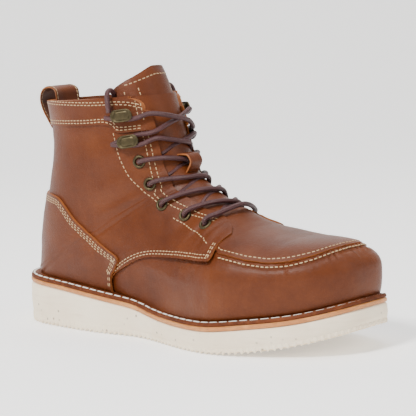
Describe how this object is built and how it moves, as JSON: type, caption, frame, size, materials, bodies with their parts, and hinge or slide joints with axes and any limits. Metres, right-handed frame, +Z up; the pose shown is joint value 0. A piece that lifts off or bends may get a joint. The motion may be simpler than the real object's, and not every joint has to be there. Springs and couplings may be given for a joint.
{
  "type": "work boot",
  "caption": "Lace-up ankle work boot for the right foot with a moc toe, a flat wedge sole, lace hooks and a pull loop at the heel.",
  "frame": {"origin": "on the tread plane, half way along the sole, on the flat face of a lug", "axes": "+X towards the toe, +Y towards the medial side, +Z up"},
  "size_m": [0.3095, 0.1128, 0.1952],
  "materials": {
    "crepe": "cream wedge, cast, matt",
    "natural_leather": "natural edge",
    "welt_leather": "brown, stitched",
    "insole_leather": "natural",
    "upper_leather": "oiled red brown, pull-up",
    "tongue_leather": "oiled red brown",
    "brass": "antique",
    "waxed_cord": "waxed, mauve brown"
  },
  "bodies": {
    "root": {"outsole": "crepe", "midsole": "natural_leather", "welt": "welt_leather", "insole": "insole_leather", "upper": "upper_leather", "quarter_lateral": "upper_leather", "quarter_medial": "upper_leather", "heel_counter": "upper_leather", "collar_band": "upper_leather", "moc_plug": "upper_leather", "pull_loop": "upper_leather", "tongue": "tongue_leather", "lace_keeper": "tongue_leather", "eyelet_lateral_1": "brass", "eyelet_lateral_2": "brass", "eyelet_lateral_3": "brass", "eyelet_lateral_4": "brass", "eyelet_lateral_5": "brass", "eyelet_medial_1": "brass", "eyelet_medial_2": "brass", "eyelet_medial_3": "brass", "eyelet_medial_4": "brass", "eyelet_medial_5": "brass", "lace_hook_lateral_1": "brass", "lace_hook_lateral_2": "brass", "lace_hook_medial_1": "brass", "lace_hook_medial_2": "brass", "lace_bar": "waxed_cord", "lace_cross_1": "waxed_cord", "lace_cross_2": "waxed_cord", "lace_cross_3": "waxed_cord", "lace_cross_4": "waxed_cord", "lace_cross_5": "waxed_cord", "lace_cross_6": "waxed_cord", "lace_end_lateral": "waxed_cord", "lace_end_medial": "waxed_cord"}
  },
  "joints": []
}
